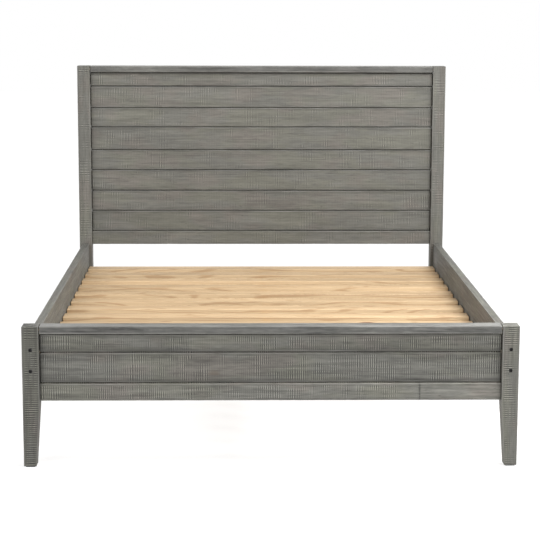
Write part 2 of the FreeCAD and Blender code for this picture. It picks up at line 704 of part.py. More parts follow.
def rail_bolts():
    ends = [(outer_y, inward) for outer_y, _, inward in rail_ends()]
    return on_both_sides([rail_bolt(outer_y, inward, z) for outer_y, inward in ends for z in BOLT_HEIGHTS])


def barrel_nut(joint_y, inward, z):
    """A cross dowel of steel with the bolt's hole through its side."""
    middle = barrel_place(joint_y, inward, z)
    half = BARREL_LENGTH / 2
    barrel = rod(BARREL_RADIUS, middle - X_AXIS * half, X_AXIS, BARREL_LENGTH)
    bore = rod(BOLT_RADIUS + FIT_CLEARANCE, middle - Y_AXIS * BARREL_RADIUS, Y_AXIS, 2 * BARREL_RADIUS)
    slot = block(
        (middle.x - half, middle.x - half + BARREL_SLOT_DEPTH),
        (middle.y - BARREL_RADIUS, middle.y + BARREL_RADIUS),
        (z - BARREL_SLOT_WIDTH / 2, z + BARREL_SLOT_WIDTH / 2),
    )
    return barrel.cut([bore, slot])


def barrel_nuts():
    ends = [(joint_y, inward) for _, joint_y, inward in rail_ends()]
    return on_both_sides([barrel_nut(joint_y, inward, z) for joint_y, inward in ends for z in BOLT_HEIGHTS])


def rail_dowels():
    return on_both_sides([rail_dowel(joint_y) for _, joint_y, _ in rail_ends()])


def panel_dowels():
    return on_both_sides([dowel(y, z) for places in panel_dowel_places().values() for y, z in places])


def ledger_screws():
    return on_both_sides(screws(ledger_screw_places(), X_AXIS, SCREW_LENGTHS["ledger"]))


def slat_screws():
    places = [slat_screw_place(y) for y in slat_centres()]
    return on_both_sides(screws(places, -Z_AXIS, SCREW_LENGTHS["slat"]))


def brace_screws():
    places = head_brace_screw_places() + foot_brace_screw_places()
    return screws(places, Vector(0, -1, 0), SCREW_LENGTHS["brace"])


def pocket_screws():
    foot = screws(pocket_screw_places(FOOT_RAIL_BACK_Y, 1), Vector(0, -1, 0), SCREW_LENGTHS["pocket"])
    head = screws(pocket_screw_places(STRETCHER_FRONT_Y, -1), Y_AXIS, SCREW_LENGTHS["pocket"])
    return foot + head


def centre_leg_screws():
    return screws(centre_leg_screw_places(), -Z_AXIS, SCREW_LENGTHS["centre_leg"])


# Assembly


def headboard():
    nodes = {f"headboard_post_{name}": headboard_post(side) for name, side in SIDES.items()}
    nodes["headboard_top_rail"] = top_member(
        "headboard_top_rail", HEAD_PANEL_Y, HEAD_FRONT_Y, HEADBOARD_LEVELS[0], HEADBOARD_HEIGHT
    )
    nodes.update(headboard_planks())
    nodes["headboard_panel_rail"] = panel_bottom_rail(
        "headboard_panel_rail", HEAD_PANEL_Y, HEADBOARD_LEVELS[-1], HEADBOARD_PANEL_BOTTOM
    )
    nodes["headboard_stretcher"] = headboard_stretcher()
    brace_span = (HEADBOARD_LEVELS[-1] + BRACE_LIFT, HEADBOARD_LEVELS[0])
    nodes["headboard_brace"] = brace(HEAD_PANEL_Y, brace_span, head_brace_screw_places())
    return nodes


def footboard():
    nodes = {f"footboard_leg_{name}": footboard_leg(side) for name, side in SIDES.items()}
    nodes["footboard_cap_rail"] = top_member(
        "footboard_cap_rail", FOOT_PANEL_Y, FOOT_FRONT_Y, FOOTBOARD_LEVELS[0], FOOTBOARD_HEIGHT
    )
    nodes.update(footboard_planks())
    nodes["footboard_bottom_rail"] = footboard_bottom_rail()
    brace_span = (SLAT_BOTTOM + BRACE_LIFT, FOOTBOARD_LEVELS[0])
    nodes["footboard_brace"] = brace(FOOT_PANEL_Y, brace_span, foot_brace_screw_places())
    return nodes


def slatted_base():
    nodes = {}
    for name, side in SIDES.items():
        nodes[f"side_rail_{name}"] = side_rail(side)
        nodes[f"ledger_{name}"] = ledger(side)
    for number, y in enumerate(slat_centres(), start=1):
        nodes[f"slat_{number:02d}"] = slat(y)
    nodes["centre_rail"] = centre_rail()
    nodes["centre_rail_pocket_foot"] = centre_rail_pocket(FOOT_RAIL_BACK_Y, 1)
    nodes["centre_rail_pocket_head"] = centre_rail_pocket(STRETCHER_FRONT_Y, -1)
    nodes["centre_leg"] = centre_leg()
    nodes["centre_leg_insert"] = centre_leg_insert()
    nodes["foot_stem"] = foot_stem()
    nodes["foot_pad"] = foot_pad()
    return nodes


def fasteners():
    groups = {
        "rail_bolts": rail_bolts(),
        "barrel_nuts": barrel_nuts(),
        "rail_dowels": rail_dowels(),
        "panel_dowels": panel_dowels(),
        "ledger_screws": ledger_screws(),
        "slat_screws": slat_screws(),
        "brace_screws": brace_screws(),
        "pocket_screws": pocket_screws(),
        "centre_leg_screws": centre_leg_screws(),
        "floor_glides": floor_glides(),
    }
    return {name: Part.makeCompound(solids) for name, solids in groups.items()}


def main():
    os.makedirs("parts", exist_ok=True)
    nodes = {**headboard(), **footboard(), **slatted_base(), **fasteners()}
    for name, shape in nodes.items():
        if not shape.isValid():
            raise ValueError(f"{name} is not a valid shape")
        shape.exportStep(f"parts/{name}.step")
    print(len(nodes), "nodes,", sum(len(shape.Solids) for shape in nodes.values()), "solids")


main()
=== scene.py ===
import math

import bpy
import numpy as np
from mathutils import Matrix, Vector


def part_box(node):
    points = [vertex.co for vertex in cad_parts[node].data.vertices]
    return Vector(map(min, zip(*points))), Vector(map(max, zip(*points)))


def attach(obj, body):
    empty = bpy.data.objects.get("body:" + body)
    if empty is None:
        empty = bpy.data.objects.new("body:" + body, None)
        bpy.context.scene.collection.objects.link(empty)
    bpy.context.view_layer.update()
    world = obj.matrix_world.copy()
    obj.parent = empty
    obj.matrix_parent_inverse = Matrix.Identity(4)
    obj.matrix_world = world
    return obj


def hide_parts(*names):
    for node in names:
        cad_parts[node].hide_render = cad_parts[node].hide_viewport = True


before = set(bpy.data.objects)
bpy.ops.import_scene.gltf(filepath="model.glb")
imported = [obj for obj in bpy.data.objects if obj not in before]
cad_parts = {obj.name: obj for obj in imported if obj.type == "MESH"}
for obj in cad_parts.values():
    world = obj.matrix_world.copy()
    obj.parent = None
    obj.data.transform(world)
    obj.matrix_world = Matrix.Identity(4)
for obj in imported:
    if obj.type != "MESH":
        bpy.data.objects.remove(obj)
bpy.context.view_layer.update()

# Wooden bed frame: rough-sawn, weathered grey outer parts and plain pine inside. Metres.

BODY = "bed"
STEEL_NODES = (
    "barrel_nuts", "centre_leg_insert", "foot_stem", "centre_rail_pocket_foot", "centre_rail_pocket_head",
    "slat_screws", "ledger_screws", "brace_screws", "pocket_screws", "centre_leg_screws",
)

# Camera
CAMERA_PLACE = (-0.1154, -6.4974, 1.5350)
CAMERA_YAW = math.radians(-1.169)
CAMERA_PITCH = math.radians(-9.253)
CAMERA_ROLL = math.radians(-0.149)
CAMERA_LENS = 113.94
SENSOR_WIDTH = 36.0

# Stage and lights: each light's name, place, target, side length and power in watts
FLOOR_SIZE = 40.0
FLOOR_DROP = 0.0004
FLOOR_GLOW = 0.72
LIGHTS = (
    ("key", (2.6, -4.8, 2.4), (0.2, -0.6, 0.4), 1.6, 50.0),
    ("fill", (-3.0, -4.6, 2.4), (-0.2, -0.6, 0.4), 2.0, 80.0),
    ("overhead", (1.5, -1.2, 2.9), (0.4, -0.6, 0.4), 1.6, 150.0),
)

# Mesh resolution: steps along the grain, then steps across it
FINE_STEP = 0.0014
SMOOTH_STEP = 0.003
PLAIN_STEP = 0.012
ACROSS_STEP = 0.006
SIDE_RAIL_ACROSS_STEP = 0.010
EDGE_MARGIN = 0.0015
ARC_STEPS = 3

# Saw marks and other unevenness
SAW_PITCH = 0.0069
SAW_DEPTH = 0.00045
SAW_SHARPNESS = 0.7
BUNDLE_THRESHOLD = 0.76
BUNDLE_SHARE = 0.58
BUNDLE_FADE = 0.14
FAINT_MARKS = 0.10
UNEVEN_DEPTH = 0.00025
EDGE_DENT_DEPTH = 0.0002

# Seeds: each piece has its own, and all but the posts and legs share one for the spacing of their saw strokes
FIRST_SEED = 11
SEED_STEP = 17
SHARED_PHASE_SEED = 7

# Each piece takes its grain from another place in the same pattern, one of a number of shifts
GRAIN_SHIFT = np.array([0.0, 0.37, 0.53])
GRAIN_SHIFTS = 97

# The vertical one of the three axes
UP = 2

# How each piece came out of the mill and took the stain, and the painted light and shade in its tone:
#   tone        its lightness, and front, that of its front face compared with the rest; a front below 1 is
#               painted shade, standing in for the front taking less light than the top
#   drift       how much the tone gains per metre to the right: a painted gradient of light and shade
#   low_edge    how dark the painted shade is along the lower edge, and high_edge, along the upper one
#   arris       how light the painted highlight is on the lower front arris
#   joint       the tone of the faces inside the joints; above 1, painted light
#               that lifts the shade in the gaps
#   figure      the strength of the grain's figure
#   sawn        the strength of the saw marks, and sawn_low, their share of it near the floor
#   cover       the share of the faces that the marks cover
#   planed      1 for a piece planed smooth
PLAIN_WOOD = {
    "tone": 1.0, "front": 1.0, "drift": 0.0, "low_edge": 0.0, "high_edge": 0.0, "arris": 0.0, "joint": 1.0,
    "figure": 1.0, "sawn": 0.75, "sawn_low": 1.0, "cover": 0.50, "planed": 0.0,
}
WOOD_FAMILIES = {
    # The headboard is painted a little darker to the right; its planks carry painted shade along their edges
    # and painted light in their joints
    "headboard_": {"tone": 0.98, "drift": -0.05, "figure": 0.85, "sawn": 1.10, "cover": 0.38},
    "headboard_plank_": {"joint": 1.1, "high_edge": 0.35, "low_edge": 0.12},
}
WOOD = {
    "headboard_plank_1": {"high_edge": 0.0},
    "headboard_post_left": {"tone": 1.00, "sawn": 2.30, "cover": 0.52},
    "headboard_post_right": {"tone": 0.95, "sawn": 2.00, "cover": 0.50},
    # The top rail's front is painted darker than its top, as painted shade
    "headboard_top_rail": {"tone": 0.96, "front": 0.86, "figure": 2.1, "sawn": 0.06, "planed": 1.0},
    "footboard_leg_left": {"tone": 0.67, "sawn": 2.60, "cover": 0.72},
    "footboard_leg_right": {"tone": 1.00, "sawn": 2.20, "sawn_low": 0.40, "cover": 0.60},
    # The cap rail: front painted darker than its top, a painted highlight on its lower arris, and painted
    # lighter to the right
    "footboard_cap_rail": {
        "tone": 1.17, "front": 0.68, "drift": 0.12, "arris": 0.95, "figure": 2.6, "sawn": 0.06, "planed": 1.0,
    },
    # The footboard's planks and bottom rail: painted shade along their edges and painted light in their
    # joints; the rail painted lighter to the right
    "footboard_upper_plank": {
        "tone": 1.05, "low_edge": 0.52, "joint": 2.6, "figure": 1.4, "sawn": 1.95, "cover": 0.62,
    },
    "footboard_middle_plank": {
        "tone": 0.95, "low_edge": 0.50, "high_edge": 0.18, "joint": 2.6, "figure": 1.4,
        "sawn": 2.00, "cover": 0.63,
    },
    "footboard_bottom_rail": {
        "tone": 1.18, "drift": 0.22, "low_edge": 0.20, "high_edge": 0.22, "joint": 2.6, "figure": 1.4,
        "sawn": 1.25, "cover": 0.60,
    },
}
LOW_EDGE_FADE = 0.011
HIGH_EDGE_FADE = 0.004
SAWN_LOW_TOP = 0.26
SAWN_LOW_FADE = 0.08
END_SHADE = 0.24
END_SHADE_FADE = 0.012
TONE_VARIATION = 0.10

# The bottom rail is glued up from two lengths, and the right one was left smooth
SPLICE = 0.485
SPLICE_WIDTH = 0.0018
SPLICE_FADE = 0.002
SPLICE_DEPTH = 1.5
SPLICE_TONE = 1.05

# Edges
EDGE_RADIUS = 0.0018
EDGE_FADE = 0.0045
TOP_MEMBER_LOWER_RADIUS = 0.0035
TOP_MEMBER_UPPER_RADIUS = 0.0025
SLAT_BEVEL = 0.0008

# Posts
POST_TAPER_TOP = 0.216
POST_TOE_WIDTH = 0.042
POST_TOE_DEPTH = 0.042
WELL_RADIUS = 0.0055
WELL_DEPTH = 0.012
WELL_SEGMENTS = 40
BOLT_HEAD_RADIUS = 0.005

# Plank joints
SHADOW_GAP = 0.005
TONGUE = 0.004
TONGUE_HEIGHT = 0.005
GROOVE_ROOM = 0.0003
GROOVE_END_ROOM = 0.00125
TONGUE_FROM_BACK = 0.007
TENON_LENGTH = 0.010
TENON_THICKNESS = 0.010
TENON_SHOULDER = 0.003
TENON_BACK_SHOULDER = 0.0015
PANEL_END_GAP = 0.002
TOP_MEMBER_END_GAP = 0.002


# Smooth noise


def lattice(i, j, seed):
    """A repeatable random number from 0 to 1 for each cell of a grid."""
    cell = i.astype(np.int64) * 374761393 + j.astype(np.int64) * 668265263 + seed * 1442695041
    cell = (cell ^ (cell >> 13)) * 1274126177
    cell = cell & 0x7FFFFFFF
    return ((cell ^ (cell >> 16)) & 0xFFFF) / 65535.0


def noise(x, y, seed):
    """Smooth noise from 0 to 1 over two arrays of the same shape."""
    x, y = np.broadcast_arrays(np.asarray(x, float), np.asarray(y, float))
    i, j = np.floor(x), np.floor(y)
    fx, fy = x - i, y - j
    fx, fy = fx * fx * (3 - 2 * fx), fy * fy * (3 - 2 * fy)
    low = lattice(i, j, seed) * (1 - fx) + lattice(i + 1, j, seed) * fx
    high = lattice(i, j + 1, seed) * (1 - fx) + lattice(i + 1, j + 1, seed) * fx
    return low * (1 - fy) + high * fy


def ramp(x, low, high):
    """0 below low, 1 above high, and smooth between."""
    t = np.clip((x - low) / (high - low), 0, 1)
    return t * t * (3 - 2 * t)


# Outlines: the closed section that a piece of wood has all along its grain


class Outline:
    """A closed section: points, outward normals, and how near each point is to a rounded edge (1 on it)."""

    def __init__(self, corners, step=ACROSS_STEP):
        points, normals, edges = [], [], []
        count = len(corners)
        for k in range(count):
            here = np.array(corners[k][:2])
            radius = corners[k][2]
            before = np.array(corners[k - 1][:2])
            after = np.array(corners[(k + 1) % count][:2])
            next_radius = corners[(k + 1) % count][2]
            into = (here - before) / np.linalg.norm(here - before)
            out = (after - here) / np.linalg.norm(after - here)
            n_in = np.array([into[1], -into[0]])
            n_out = np.array([out[1], -out[0]])
            start = here - into * radius
            centre = start - n_in * radius
            if radius > 0:
                for a in range(ARC_STEPS + 1):
                    t = a / ARC_STEPS * math.pi / 2
                    normal = n_in * math.cos(t) + n_out * math.sin(t)
                    points.append(centre + normal * radius)
                    normals.append(normal)
                    edges.append(1.0)
            else:
                normal = n_in + n_out
                points.append(here)
                normals.append(normal / np.linalg.norm(normal))
                edges.append(0.0)
            end = here + out * radius
            finish = after - out * next_radius
            length = np.linalg.norm(finish - end)
            for c in self.cuts(length, step):
                points.append(end + out * c)
                normals.append(n_out)
                near_start = math.exp(-c / EDGE_FADE) if radius > 0 else 0.0
                near_end = math.exp(-(length - c) / EDGE_FADE) if next_radius > 0 else 0.0
                edges.append(max(near_start, near_end))
        self.points = np.array(points)
        self.normals = np.array(normals)
        self.edges = np.array(edges)
        gaps = np.linalg.norm(self.points - np.roll(self.points, 1, axis=0), axis=1)
        self.along = np.cumsum(gaps)
        self.front_top = corners[1][0]

    @staticmethod
    def cuts(length, step):
        """Places along one side where it is divided: close together by its ends."""
        inner_length = length - 2 * EDGE_MARGIN
        if inner_length < 0:
            return []
        inner = max(1, round(inner_length / step))
        return list(np.linspace(EDGE_MARGIN, length - EDGE_MARGIN, inner + 1))


def box_outline(v0, v1, w0, w1, radii=(EDGE_RADIUS,) * 4, step=ACROSS_STEP):
    """A rectangle from its two spans, with a radius for each corner from the low one round."""
    return Outline([(v0, w0, radii[0]), (v1, w0, radii[1]), (v1, w1, radii[2]), (v0, w1, radii[3])], step)


def plank_outline(v0, v1, w0, w1):
    """A plank's section: front at w0, a tongue on its top edge and a groove in its bottom edge."""
    r = EDGE_RADIUS
    middle = w1 - TONGUE_FROM_BACK
    near, far = middle - TONGUE / 2, middle + TONGUE / 2
    tip = v1 + SHADOW_GAP + TONGUE_HEIGHT
    root = v0 + TONGUE_HEIGHT + GROOVE_END_ROOM
    return Outline([
        (v0, w0, r), (v1, w0, r),
        (v1, near, 0), (tip, near, 0), (tip, far, 0), (v1, far, 0),
        (v1, w1, r), (v0, w1, r),
        (v0, far + GROOVE_ROOM, 0), (root, far + GROOVE_ROOM, 0),
        (root, near - GROOVE_ROOM, 0), (v0, near - GROOVE_ROOM, 0),
    ])


# Sweeping an outline along the grain


def stations(u0, u1, step):
    """Places along the grain, with the rounding of both ends, and how far each is drawn in."""
    turns = np.arange(ARC_STEPS, 0, -1) / ARC_STEPS * math.pi / 2
    lead = EDGE_RADIUS * (1 - np.sin(turns))
    inset = EDGE_RADIUS * (1 - np.cos(turns))
    count = max(2, round((u1 - u0 - 2 * EDGE_RADIUS) / step))
    middle = np.linspace(u0 + EDGE_RADIUS, u1 - EDGE_RADIUS, count + 1)
    places = np.concatenate([u0 + lead, middle, (u1 - lead)[::-1]])
    insets = np.concatenate([inset, np.zeros(len(middle)), inset[::-1]])
    return places, insets


def saw_marks(u, v, cover, seed, phase_seed):
    """The strokes that a saw leaves across the grain, from -1 in a groove to 1 on a ridge.

    They lie in bundles that come and go. u is the place along the grain, and v the place round the section.
    """
    drift = 1.2 * noise(u / 0.30, 0 * u, phase_seed)
    drift += 0.7 * noise(u / 0.07, 0 * u, phase_seed + 1)
    drift += 0.5 * noise(u / 0.021, 0 * u, phase_seed + 2)
    phase = u / SAW_PITCH + drift + 0.15 * noise(u / 0.05, v / 0.05, seed)
    stroke = np.floor(phase)
    wave = -np.cos(2 * math.pi * phase)
    wave = np.sign(wave) * np.abs(wave) ** SAW_SHARPNESS
    fade_in = BUNDLE_THRESHOLD - BUNDLE_SHARE * cover
    short = noise(u / 0.022, v / 0.10, seed + 1)
    long = noise(u / 0.09, v / 0.05, seed + 2)
    bundle = ramp(0.6 * short + 0.4 * long, fade_in, fade_in + BUNDLE_FADE)
    reach = ramp(noise(stroke * 0.71, v / 0.015, seed + 3), 0.20, 0.50)
    strength = 0.35 + 0.65 * lattice(stroke, 0 * stroke, seed + 7)
    return wave * (FAINT_MARKS + (1 - FAINT_MARKS) * bundle * (0.2 + 0.8 * reach) * strength)


def tones_with_painted_light(wood, outline, grid_u, along, seed):
    """How light each point is: the piece's own tone, with painted light and shade on its front, edges, joints
    and arris.
    """
    above = outline.points[:, 0] - outline.points[:, 0].min()
    below = np.abs(outline.front_top - outline.points[:, 0])
    facing_front = np.clip(-outline.normals[:, 1], 0, 1)
    facing_joint = np.abs(outline.normals[:, 0])
    lower_front = 2 * np.clip(-outline.normals, 0, 1).prod(axis=1)
    uneven_painted_shade = 0.5 + 0.8 * noise(grid_u / 0.22, 0 * grid_u, seed + 8)
    tones = wood["tone"] * (1 + TONE_VARIATION * (noise(grid_u / 0.20, along / 0.06, seed + 4) - 0.5))
    # Painted shade: the front face darker than the top
    tones *= 1 + (wood["front"] - 1) * facing_front[None, :]
    # Painted shade: darker bands along the lower and the upper edge
    tones *= 1 - wood["low_edge"] * uneven_painted_shade * np.exp(-above / LOW_EDGE_FADE)[None, :]
    tones *= 1 - wood["high_edge"] * np.exp(-below / HIGH_EDGE_FADE)[None, :]
    # Painted light and shade: a gradient along the piece to the right
    tones *= 1 + wood["drift"] * grid_u
    # Painted light: lighter faces inside the joints
    tones *= 1 + (wood["joint"] - 1) * facing_joint[None, :]
    # Painted highlight: the lower front arris lighter
    tones *= 1 + wood["arris"] * lower_front[None, :]
    return tones


def surface_depth(wood, marks, edge, grid_u, along, seed):
    """How far each point lies below the outline: saw grooves, unevenness, and dents along the edges."""
    dents = ramp(noise(grid_u / 0.018, along / 0.05, seed + 6), 0.55, 0.9)
    depth = SAW_DEPTH * (wood["sawn"] - marks) / 2 * (1 - edge)
    depth += UNEVEN_DEPTH * noise(grid_u / 0.05, along / 0.03, seed + 5)
    depth += EDGE_DENT_DEPTH * edge * dents
    return depth


def sweep(
    name, outline, span, axes, node, step=FINE_STEP, phase_seed=SHARED_PHASE_SEED, splice=None, end_shade=0.0
):
    """A piece of wood: the outline swept along the grain, with saw marks and a slightly uneven surface.

    axes gives the world axes of the grain, the outline's first and its second coordinate.
    """
    seed = seed_of(node)
    wood = wood_of(node)
    u, inset = stations(span[0], span[1], step)
    count_u, count_p = len(u), len(outline.points)
    grid_u = np.repeat(u[:, None], count_p, axis=1)
    along = np.repeat(outline.along[None, :], count_u, axis=0)
    edge = np.repeat(outline.edges[None, :], count_u, axis=0)
    from_end = np.minimum(u - u[0], u[-1] - u)
    marks = saw_marks(grid_u, along, wood["cover"], seed, phase_seed)
    marks *= wood["sawn"] * (1 - ramp(edge, 0.4, 0.9))
    if axes[0] == UP:
        high_up = ramp(grid_u, SAWN_LOW_TOP - SAWN_LOW_FADE, SAWN_LOW_TOP)
        marks *= wood["sawn_low"] + (1 - wood["sawn_low"]) * high_up
    tones = tones_with_painted_light(wood, outline, grid_u, along, seed)
    tones *= 1 - end_shade * np.exp(-from_end / END_SHADE_FADE)[:, None]
    if splice is not None:
        smooth = ramp(grid_u, splice - SPLICE_FADE, splice + SPLICE_FADE)
        seam = np.exp(-np.abs(grid_u - splice) / SPLICE_WIDTH)
        marks = marks * (1 - smooth) - SPLICE_DEPTH * seam
        tones *= 1 + (SPLICE_TONE - 1) * smooth
    depth = surface_depth(wood, marks, edge, grid_u, along, seed) + inset[:, None]
    section = outline.points[None, :, :] - outline.normals[None, :, :] * depth[:, :, None]
    local = np.concatenate([grid_u[:, :, None], section], axis=2).reshape(-1, 3)
    place = np.zeros_like(local)
    place[:, list(axes)] = local
    mesh = tube_mesh(name, place, count_u, count_p)
    near_end = np.exp(-from_end / EDGE_FADE)
    store(mesh, "grain", local + GRAIN_SHIFT * (seed % GRAIN_SHIFTS))
    store(mesh, "sawn", marks.ravel())
    # The tone holds the piece's own lightness together with the painted light and shade
    store(mesh, "tone", tones.ravel())
    store(mesh, "edge", np.maximum(edge, near_end[:, None]).ravel())
    for key in ("planed", "figure"):
        store(mesh, key, np.full(count_u * count_p, wood[key]))
    return bpy.data.objects.new(name, mesh)


def tube_mesh(name, place, count_u, count_p):
    """A closed mesh from rings of points: quads between the rings and one face at each end."""
    ring = np.arange(count_p)
    following = (ring + 1) % count_p
    base = (np.arange(count_u - 1) * count_p)[:, None]
    quads = np.stack(
        [base + ring, base + following, base + count_p + following, base + count_p + ring], axis=2
    ).reshape(-1, 4)
    last = (count_u - 1) * count_p
    if signed_volume(place, quads) < 0:
        quads = quads[:, ::-1]
        caps = [ring, last + ring[::-1]]
    else:
        caps = [ring[::-1], last + ring]
    mesh = bpy.data.meshes.new(name)
    mesh.vertices.add(len(place))
    mesh.vertices.foreach_set("co", place.ravel())
    loops = np.concatenate([quads.ravel(), caps[0], caps[1]])
    mesh.loops.add(len(loops))
    mesh.loops.foreach_set("vertex_index", loops)
    starts = np.concatenate([np.arange(len(quads)) * 4, [len(quads) * 4, len(quads) * 4 + count_p]])
    mesh.polygons.add(len(starts))
    mesh.polygons.foreach_set("loop_start", starts)
    smooth = np.ones(len(starts), bool)
    smooth[-2:] = False
    mesh.polygons.foreach_set("use_smooth", smooth)
    mesh.update(calc_edges=True)
    return mesh


def signed_volume(place, quads):
    """Six times the volume that the quads close in, positive when they face outwards."""
    a, b, c, d = (place[quads[:, k]] for k in range(4))
    return np.sum(np.einsum("ij,ij->i", a, np.cross(b, c))) + np.sum(np.einsum("ij,ij->i", a, np.cross(c, d)))


def store(mesh, name, values):
    """Keeps a number or a vector at each point, for the materials to read."""
    kind, field = ("FLOAT_VECTOR", "vector") if values.ndim == 2 else ("FLOAT", "value")
    mesh.attributes.new(name, kind, "POINT").data.foreach_set(field, values.astype(np.float32).ravel())


def join(target, others):
    """Puts other objects' meshes into the target's."""
    for other in others:
        bpy.context.scene.collection.objects.link(other)
    bpy.context.scene.collection.objects.link(target)
    bpy.ops.object.select_all(action="DESELECT")
    for obj in [target] + others:
        obj.select_set(True)
    bpy.context.view_layer.objects.active = target
    bpy.ops.object.join()
    return target


def finish_piece(obj, node, material, body=BODY):
    """Puts a finished piece in the scene in place of its CAD node."""
    if obj.name not in bpy.context.scene.collection.objects:
        bpy.context.scene.collection.objects.link(obj)
    obj.data.materials.clear()
    obj.data.materials.append(material)
    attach(obj, body)
    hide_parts(node)


# The wooden pieces


def seed_of(node):
    """A number for each piece, so that no two look the same."""
    return FIRST_SEED + SEED_STEP * sorted(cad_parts).index(node)


def wood_of(node):
    """What one piece of wood is like, from the tables above."""
    wood = dict(PLAIN_WOOD)
    for start, family in WOOD_FAMILIES.items():
        if node.startswith(start):
            wood.update(family)
    wood.update(WOOD.get(node, {}))
    return wood


def cut_wells(obj, places):
    """Bores the bolt heads' wells into a post, along its depth."""
    for place in places:
        bpy.ops.mesh.primitive_cylinder_add(
            vertices=WELL_SEGMENTS, radius=WELL_RADIUS, depth=2 * WELL_DEPTH, location=place
        )
        cutter = bpy.context.object
        cutter.rotation_euler = (math.pi / 2, 0, 0)
        modifier = obj.modifiers.new("well", "BOOLEAN")
        modifier.operation = "DIFFERENCE"
        modifier.solver = "EXACT"
        modifier.object = cutter
        depsgraph = bpy.context.evaluated_depsgraph_get()
        bored = bpy.data.meshes.new_from_object(obj.evaluated_get(depsgraph))
        obj.modifiers.clear()
        obj.data = bored
        bpy.data.objects.remove(cutter)


def bolt_places(outer_y, side):
    """Mouths of the two wells in one post, from the bolts themselves."""
    low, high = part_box("rail_bolts")
    x = side * (high.x - BOLT_HEAD_RADIUS)
    return [(x, outer_y, z) for z in (low.z + BOLT_HEAD_RADIUS, high.z - BOLT_HEAD_RADIUS)]


def post(node, outer_y):
    """A post or leg, square above and tapered on its two inner faces below, with its bolt wells."""
    low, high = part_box(node)
    side = 1 if low.x > 0 else -1
    outline = box_outline(low.x, high.x, low.y, high.y)
    obj = sweep(node + "_wood", outline, (low.z, high.z), (UP, 0, 1), node, phase_seed=seed_of(node))
    mesh = obj.data
    place = np.empty(len(mesh.vertices) * 3)
    mesh.vertices.foreach_get("co", place)
    place = place.reshape(-1, 3)
    down = np.clip((POST_TAPER_TOP - place[:, 2]) / (POST_TAPER_TOP - low.z), 0, 1)
    outer_x = high.x if side > 0 else low.x
    narrowing = 1 - POST_TOE_WIDTH / (high.x - low.x)
    thinning = 1 - POST_TOE_DEPTH / (high.y - low.y)
    place[:, 0] = outer_x + (place[:, 0] - outer_x) * (1 - down * narrowing)
    place[:, 1] = outer_y + (place[:, 1] - outer_y) * (1 - down * thinning)
    mesh.vertices.foreach_set("co", place.ravel())
    bpy.context.scene.collection.objects.link(obj)
    cut_wells(obj, bolt_places(outer_y, side))
    return obj


def plank(node):
    """A plank of a panel, with its tongue, its groove and a tenon at each end."""
    low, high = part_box(node)
    top = high.z - SHADOW_GAP - TONGUE_HEIGHT
    half = high.x - TENON_LENGTH - PANEL_END_GAP
    outline = plank_outline(low.z, top, low.y, high.y)
    obj = sweep(node + "_wood", outline, (-half, half), (0, UP, 1), node, end_shade=END_SHADE)
    tenon = box_outline(
        low.z + TENON_SHOULDER, top - TENON_SHOULDER, high.y - TENON_THICKNESS, high.y - TENON_BACK_SHOULDER
    )
    tenons = [
        sweep(f"{node}_tenon", tenon, span, (0, UP, 1), node, PLAIN_STEP)
        for span in ((-high.x, -half), (half, high.x))
    ]
    return join(obj, tenons)


def panel_bottom_rail(node, panel_back_y, splice=None):
    """The rail under a panel: a plain section with the tongue for the lowest plank."""
    low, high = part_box(node)
    top = high.z - SHADOW_GAP - TONGUE_HEIGHT
    r = EDGE_RADIUS
    middle = panel_back_y - TONGUE_FROM_BACK
    near, far = middle - TONGUE / 2, middle + TONGUE / 2
    outline = Outline([
        (low.z, low.y, r), (top, low.y, r),
        (top, near, 0), (high.z, near, 0), (high.z, far, 0), (top, far, 0),
        (top, high.y, r), (low.z, high.y, r),
    ])
    return sweep(node + "_wood", outline, (low.x, high.x), (0, UP, 1), node, splice=splice)


def top_member(node):
    """The deep rail along a panel's top, planed smooth, with its lower front edge well rounded."""
    low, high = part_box(node)
    radii = (TOP_MEMBER_LOWER_RADIUS, TOP_MEMBER_UPPER_RADIUS, EDGE_RADIUS, EDGE_RADIUS)
    outline = box_outline(low.z, high.z, low.y, high.y, radii)
    span = (low.x + TOP_MEMBER_END_GAP, high.x - TOP_MEMBER_END_GAP)
    return sweep(node + "_wood", outline, span, (0, UP, 1), node, SMOOTH_STEP)


def stretcher(node):
    """A plain rail across the bed."""
    low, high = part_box(node)
    outline = box_outline(low.z, high.z, low.y, high.y)
    return sweep(node + "_wood", outline, (low.x, high.x), (0, UP, 1), node)


def side_rail(node):
    """A plain rail along the bed."""
    low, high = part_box(node)
    outline = box_outline(low.z, high.z, low.x, high.x, step=SIDE_RAIL_ACROSS_STEP)
    return sweep(node + "_wood", outline, (low.y, high.y), (1, UP, 0), node)


# Node helpers for materials

# Where a mix node of the colour kind has its two colours and its result
MIX_FIRST = 6
MIX_SECOND = 7
MIX_RESULT = 2


